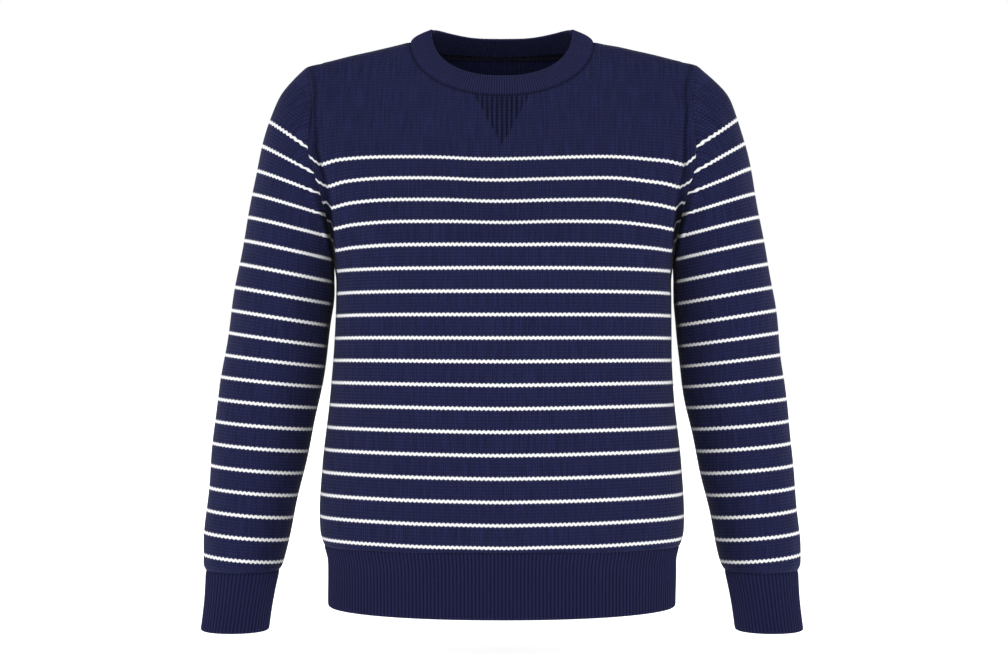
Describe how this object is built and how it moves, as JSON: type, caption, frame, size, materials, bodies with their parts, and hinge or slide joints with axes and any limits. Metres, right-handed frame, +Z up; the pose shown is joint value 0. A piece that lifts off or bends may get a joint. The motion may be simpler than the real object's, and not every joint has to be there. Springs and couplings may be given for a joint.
{
  "type": "striped jumper",
  "caption": "Crew-neck knitted jumper, filled out as worn, with narrow stripes, set-in sleeves and ribbed neckband, hem and cuffs.",
  "frame": {"origin": "middle of the line between the two points where the shoulder seams meet the neckband, where the wearer holds the jumper up", "axes": "+Z up the body towards the neck, -Y towards the front, +X towards the wearer's left sleeve"},
  "size_m": [0.7047, 0.222, 0.701],
  "materials": {
    "striped_knit": "navy cotton stocking-stitch knit with narrow white stripes below a plain yoke, matt",
    "rib_knit": "navy cotton one-by-one rib, matt"
  },
  "bodies": {
    "root": {"front": "striped_knit", "back": "striped_knit", "sleeve_left": "striped_knit", "sleeve_right": "striped_knit", "neckband": "rib_knit", "hem_front": "rib_knit", "hem_back": "rib_knit", "cuff_left": "rib_knit", "cuff_right": "rib_knit"}
  },
  "joints": []
}
